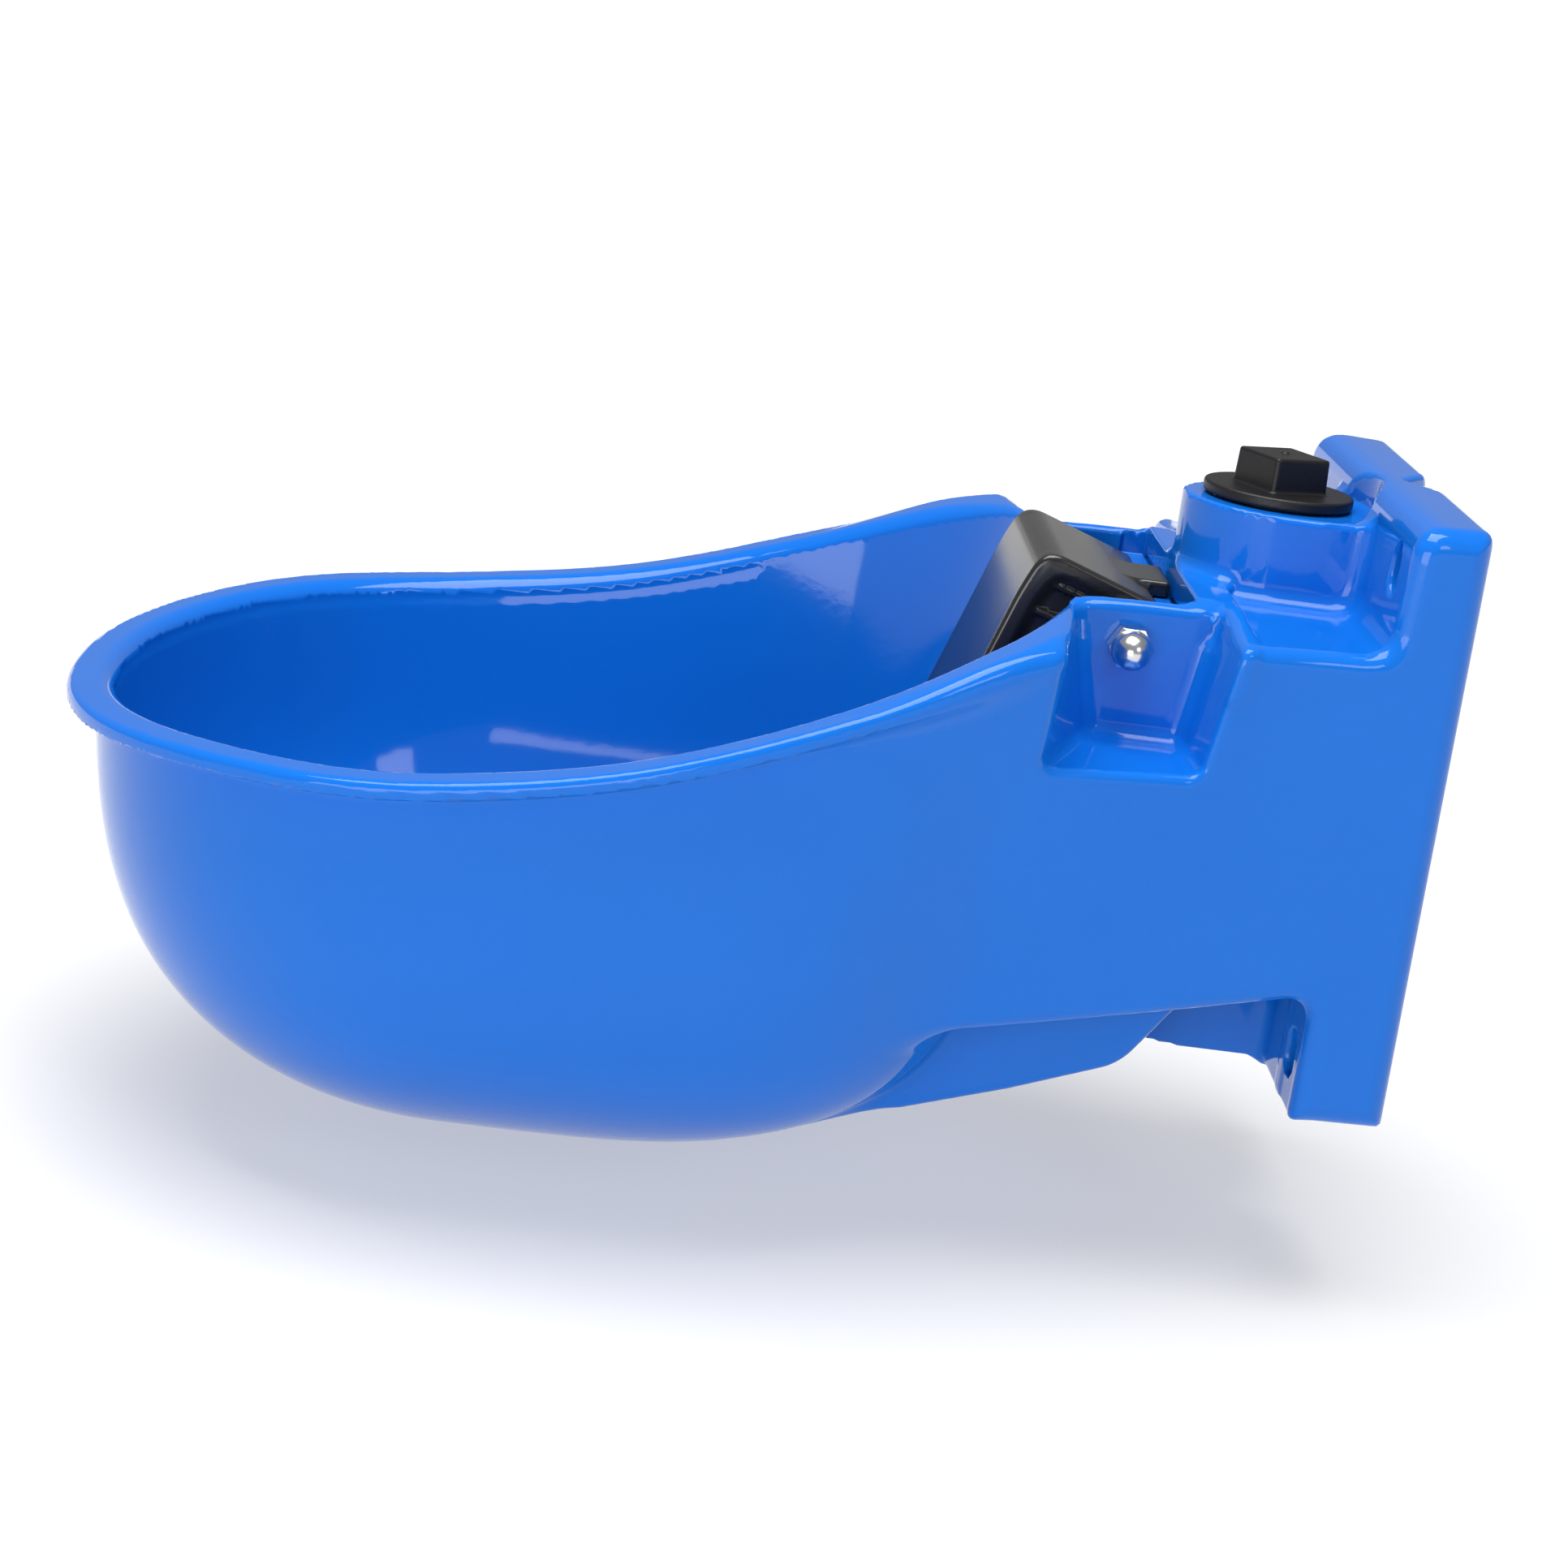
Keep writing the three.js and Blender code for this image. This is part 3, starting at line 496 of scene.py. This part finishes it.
PLUG = {"flange": 19.5, "turn": 28.0, "half": 8.9, "taper": 0.03, "top": 79.5, "thread": 11.9,
        "hollow": 8.0}
THREAD = {"pitch": 1.8, "depth": 1.1}
NUT = {"seat": 52.8, "flats": 10.0, "corners": 5.75, "dome": 4.7, "dome_x": 60.1, "bore_end": 60.4}
HEX_CHAMFER = 1.7
SHANK_RADIUS = 3.0
VALVE_OUTER = outline(
    (-5, -88), (7.4, -88), (8, -87.4), (8, -81.3), (10.7, -81.3), (10.7, -54), (9.6, -53), (9.6, -42),
    (-5, -42))
VALVE_INNER = outline(
    (-5, -89), (6.2, -89), (6.2, -69), (4.2, -69), (4.2, -66), (8, -66), (8, -41), (-5, -41))


def plug_distance(x, y, z):
    plan = from_column(x, y)
    flange = soft_both(plan - PLUG["flange"], slab(z, 67.5, 70.5), 0.8)
    turn = math.radians(PLUG["turn"])
    u = x * math.cos(turn) + (y - COLUMN_Y) * math.sin(turn)
    v = (y - COLUMN_Y) * math.cos(turn) - x * math.sin(turn)
    half = PLUG["half"] - PLUG["taper"] * (z - 70)
    sides = soft_both(np.abs(u) - half, np.abs(v) - half, 1.2)
    head = soft_both(sides, slab(z, 69, PLUG["top"]), 0.7)
    nub = soft_both(plan - 1, slab(z, 78, 80), 0.3)
    turn_share = np.arctan2(y - COLUMN_Y, x) / (2 * math.pi)
    ridge = np.abs((z / THREAD["pitch"] - turn_share) % 1 - 0.5) * THREAD["depth"]
    thread = soft_both(plan - PLUG["thread"] + ridge * (z < 66), slab(z, 55.5, 68), 0.8)
    whole = soft_union(soft_union(flange, head, 0.8), nub, 0.4)
    return soft_cut(np.minimum(whole, thread), np.maximum(plan - PLUG["hollow"], z - 67.6), 0.5)


def hexagon_end(x, y, z, middle, flat_part, low, high):
    """A hexagon about the hinge's axis whose corners are chamfered beyond its flat part."""
    chamfer = HEX_CHAMFER * np.maximum(np.abs(x - middle) - flat_part, 0)
    corners = (from_hinge(y, z) - NUT["corners"] + chamfer) * 0.6
    sides = hexagon(y - HINGE_Y, z - HINGE_Z, NUT["flats"])
    return soft_both(np.maximum(sides, corners), slab(x, low, high), 0.3)


def nut_distance(x, y, z):
    radius, seat = from_hinge(y, z), NUT["seat"]
    base = hexagon_end(x, y, z, seat + 2.5, 2.1, seat, seat + 5)
    dome = np.hypot(np.maximum(x - NUT["dome_x"], 0), radius) - NUT["dome"]
    whole = soft_union(base, np.maximum(dome, seat + 2 - x), 0.5)
    return soft_cut(whole, np.maximum(radius - HINGE_BORE, x - NUT["bore_end"]), 0.3)


def bolt_distance(x, y, z):
    seat = NUT["seat"]
    head = hexagon_end(x, y, z, 0, seat + 3.4, -seat - 4, -seat)
    shank = soft_both(from_hinge(y, z) - SHANK_RADIUS, slab(x, -seat - 1, seat + 7), 0.4)
    return soft_union(head, shank, 0.3)


def valve_distance(x, y, z):
    radius = from_valve(x, z)
    outer = flat_distance(VALVE_OUTER, radius, y)
    nut = soft_both(hexagon(x, z - VALVE_Z, 24), slab(y, -81.3, -75.3), 0.5)
    nut = soft_both(nut, radius - 13.4, 0.6)
    whole = soft_union(outer, nut, 0.3) + 0.02
    whole = soft_cut(whole, flat_distance(VALVE_INNER, radius, y), 0.3)
    return np.maximum(whole, -np.maximum(np.hypot(x, y + 83.7) - 2, z - VALVE_Z))


def ring_distance(radius, along, inner, outer, low, high, edge):
    return soft_both(slab(radius, inner, outer), slab(along, low, high), edge)


def cap_distance(x, y, z):
    radius = from_valve(x, z)
    dome = np.hypot(radius, y + 91.7) - 8
    whole = soft_both(soft_both(dome, radius - 5, 0.6), y + 94.2, 0.4)
    return np.maximum(whole, -np.maximum(radius - 2.8, -97.4 - y))


def spacer_distance(low, high):
    return lambda x, y, z: ring_distance(from_hinge(y, z), x, HINGE_BORE, 6, low, high, 0.5)


def gasket_distance(x, y, z):
    return ring_distance(from_column(x, y), z, 12.3, 15.2, 66, 67.2, 0.3)


def washer_distance(x, y, z):
    return ring_distance(from_valve(x, z), y, 11, 14, -75, -73.8, 0.3)


SPRING = {"radius": 6.3, "wire": 0.6, "start": -57.5, "end": -44.6, "turns": 5}


def spring_distance(x, y, z):
    lead = (SPRING["end"] - SPRING["start"]) / SPRING["turns"]
    along = (y - SPRING["start"]) / lead
    part = np.arctan2(z - VALVE_Z, x) / (2 * math.pi) % 1
    coil = part + np.clip(np.round(along - part), 0, SPRING["turns"] - 1)
    return np.hypot(from_valve(x, z) - SPRING["radius"], (along - coil) * lead) - SPRING["wire"]


# name, the CAD node it stands for, body, slot, distance, pitch of the skin
SMALL_PIECES = [
    ("plug_moulding", "inlet_plug", "housing", "matte_black", plug_distance, 0.5),
    ("gasket_ring", "plug_gasket", "housing", "rubber", gasket_distance, 0.35),
    ("cap_nut_turned", "cap_nut", "housing", "zinc_steel", nut_distance, 0.25),
    ("hinge_bolt_forged", "hinge_bolt", "housing", "zinc_steel", bolt_distance, 0.4),
    ("spacer_left", "hinge_spacer_left", "housing", "black_plastic", spacer_distance(-47.2, -32.3), 0.4),
    ("spacer_right", "hinge_spacer_right", "housing", "black_plastic", spacer_distance(32.3, 47.2), 0.4),
    ("valve_body_turned", "valve_body", "housing", "brass", valve_distance, 0.5),
    ("valve_washer_ring", "valve_washer", "housing", "fibre", washer_distance, 0.35),
    ("push_cap_moulding", "push_cap", "valve_stem", "black_plastic", cap_distance, 0.35),
    ("spring_coil", "valve_spring", "housing", "stainless", spring_distance, 0.25),
]
small_pieces = {}
for name, node, body_name, slot_name, distance, pitch in SMALL_PIECES:
    margin = 2 * pitch + 0.13  # 0.13 keeps flat faces off the grid's planes
    low, high = [[1000 * c + way * margin for c in corner] for way, corner in zip((-1, 1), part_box(node))]
    made = moulded(name, distance, low, high, pitch)
    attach(made, body_name)
    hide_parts(node)
    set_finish(made, slot_name)
    small_pieces[name] = made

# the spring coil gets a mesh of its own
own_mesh(small_pieces["spring_coil"])

# ---------------------------------------------------------------- looks


def material(name, colour, roughness, metallic=0.0, gloss=0.5, grain=0.0, grain_scale=400.0, mottle=0.0):
    """A finish with slow changes of tone and a fine grain, all from noise."""
    made = bpy.data.materials.new(name)
    made.use_nodes = True
    nodes, links = made.node_tree.nodes, made.node_tree.links
    shader = nodes["Principled BSDF"]
    shader.inputs["Metallic"].default_value = metallic
    shader.inputs["Specular IOR Level"].default_value = gloss
    place = nodes.new("ShaderNodeTexCoord")
    slow = nodes.new("ShaderNodeTexNoise")
    slow.inputs["Scale"].default_value = 25.0
    slow.inputs["Detail"].default_value = 3.0
    links.new(place.outputs["Object"], slow.inputs["Vector"])
    tone = nodes.new("ShaderNodeValToRGB")
    tone.color_ramp.elements[0].color = [c * (1 - mottle) for c in colour] + [1]
    tone.color_ramp.elements[1].color = [min(1, c * (1 + mottle)) for c in colour] + [1]
    links.new(slow.outputs["Fac"], tone.inputs["Fac"])
    links.new(tone.outputs["Color"], shader.inputs["Base Color"])
    dull = nodes.new("ShaderNodeMapRange")
    dull.inputs["To Min"].default_value = roughness * 0.85
    dull.inputs["To Max"].default_value = roughness * 1.15
    links.new(slow.outputs["Fac"], dull.inputs["Value"])
    links.new(dull.outputs["Result"], shader.inputs["Roughness"])
    fine = nodes.new("ShaderNodeTexNoise")
    fine.inputs["Scale"].default_value = grain_scale
    fine.inputs["Detail"].default_value = 2.0
    links.new(place.outputs["Object"], fine.inputs["Vector"])
    bump = nodes.new("ShaderNodeBump")
    bump.inputs["Strength"].default_value = grain
    bump.inputs["Distance"].default_value = 0.001
    links.new(fine.outputs["Fac"], bump.inputs["Height"])
    links.new(bump.outputs["Normal"], shader.inputs["Normal"])
    return made


def wear(obj, look):
    obj.data.materials.clear()
    obj.data.materials.append(look)


LOOKS = {
    "blue_plastic": material("blue plastic", (0.004, 0.13, 0.555), 0.07, gloss=0.27, grain=0.012,
                             mottle=0.03),
    "black_plastic": material("black plastic", (0.014, 0.014, 0.014), 0.2, grain=0.012),
    "matte_black": material("matte black", (0.004, 0.004, 0.005), 0.45, gloss=0.35, grain=0.06,
                            grain_scale=900),
    "zinc_steel": material("zinc steel", (0.62, 0.64, 0.66), 0.22, metallic=1, mottle=0.05),
    "rubber": material("rubber", (0.010, 0.010, 0.010), 0.7, grain=0.1),
    "brass": material("brass", (0.62, 0.42, 0.14), 0.28, metallic=1, mottle=0.06),
    "fibre": material("fibre washer", (0.22, 0.045, 0.03), 0.8, grain=0.2),
    "natural_nylon": material("natural nylon", (0.75, 0.73, 0.66), 0.45, grain=0.03),
    "stainless": material("stainless steel", (0.55, 0.56, 0.57), 0.25, metallic=1, mottle=0.04),
}
NODE_LOOKS = {
    "seat_ring": "natural_nylon",
    "stem_guide": "natural_nylon",
    "valve_stem": "stainless",
    "valve_seal": "rubber",
    "seal_holder": "brass",
    "stem_nut": "stainless",
    "spring_retainer": "stainless",
    "strainer": "natural_nylon",
}
wear(body, LOOKS["blue_plastic"])
wear(paddle, LOOKS["black_plastic"])
for piece in small_pieces.values():
    wear(piece, LOOKS[piece["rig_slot"]])
for node_name, look_name in NODE_LOOKS.items():
    wear(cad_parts[node_name], LOOKS[look_name])

# ---------------------------------------------------------------- studio


def area_light(name, place, aim, width, height, power):
    data = bpy.data.lights.new(name, "AREA")
    data.shape = "RECTANGLE"
    data.size, data.size_y, data.energy = width, height, power
    light = bpy.data.objects.new(name, data)
    light.location = place
    light.rotation_euler = (Vector(aim) - Vector(place)).to_track_quat("-Z", "Y").to_euler()
    bpy.context.scene.collection.objects.link(light)


area_light("top softbox", (0.2, -0.3, 1.6), (0, -0.15, 0), 1.4, 1.2, 43)
area_light("left window", (1.2, -0.72, 0.1), (0, -0.72, 0.1), 1.05, 0.42, 7)
area_light("right window", (2.2, 1.3, 1.3), (0, -0.2, 0), 0.7, 0.7, 9)

world = bpy.data.worlds.new("studio")
world.use_nodes = True
sky_nodes, sky_links = world.node_tree.nodes, world.node_tree.links
sky = sky_nodes["Background"]
direction = sky_nodes.new("ShaderNodeTexCoord")
toward_room = sky_nodes.new("ShaderNodeVectorMath")
toward_room.operation = "DOT_PRODUCT"
toward_room.inputs[1].default_value = (0.9, 0.35, 0.35)
fall = sky_nodes.new("ShaderNodeMapRange")  # the room is a little dimmer behind the bowl than before it
fall.inputs["From Min"].default_value = -0.9
fall.inputs["From Max"].default_value = 0.1
fall.inputs["To Min"].default_value = 0.3
fall.inputs["To Max"].default_value = 0.33
sky_links.new(direction.outputs["Generated"], toward_room.inputs[0])
sky_links.new(toward_room.outputs["Value"], fall.inputs["Value"])
sky_links.new(fall.outputs["Result"], sky.inputs["Strength"])
sky.inputs["Color"].default_value = (1, 1, 1, 1)
bpy.context.scene.world = world
bpy.context.scene.view_settings.view_transform = "Standard"

floor_mesh = bpy.data.meshes.new("floor")
sweep = [(30, -0.128), (-6, -0.128), (-8, 0.25)]  # the floor's far end turns up a little
floor_mesh.from_pydata([(x, y, z) for x, z in sweep for y in (-30, 30)], [],
                       [(2 * i, 2 * i + 1, 2 * i + 3, 2 * i + 2) for i in range(len(sweep) - 1)])
floor = bpy.data.objects.new("floor", floor_mesh)
bpy.context.scene.collection.objects.link(floor)
pale = material("pale floor", (0.45, 0.45, 0.45), 0.9, gloss=0.1)
floor_nodes, floor_links = pale.node_tree.nodes, pale.node_tree.links
from_middle = floor_nodes.new("ShaderNodeVectorMath")
from_middle.operation = "LENGTH"
glow = floor_nodes.new("ShaderNodeMapRange")  # the floor glows where the softboxes don't reach it
glow.inputs["From Min"].default_value = 0.4
glow.inputs["From Max"].default_value = 2.0
glow.inputs["To Min"].default_value = 0.45
glow.inputs["To Max"].default_value = 0.95
floor_links.new(floor_nodes["Texture Coordinate"].outputs["Object"], from_middle.inputs[0])
floor_links.new(from_middle.outputs["Value"], glow.inputs["Value"])
floor_shader = floor_nodes["Principled BSDF"]
floor_shader.inputs["Emission Color"].default_value = (1, 1, 1, 1)
floor_links.new(glow.outputs["Result"], floor_shader.inputs["Emission Strength"])
wear(floor, pale)

eye = Vector((0.8742, -0.2055, 0.2067))
ahead = Vector((-0.96518, 0.05257, -0.25625)).normalized()
above = Vector((-0.26099, -0.12724, 0.95692))
right = ahead.cross(above).normalized()
above = right.cross(ahead)
camera_data = bpy.data.cameras.new("camera")
camera_data.lens = 78.54
camera = bpy.data.objects.new("camera", camera_data)
camera.matrix_world = Matrix(
    [[right[i], above[i], -ahead[i], eye[i]] for i in range(3)] + [[0, 0, 0, 1]])
bpy.context.scene.collection.objects.link(camera)
bpy.context.scene.camera = camera
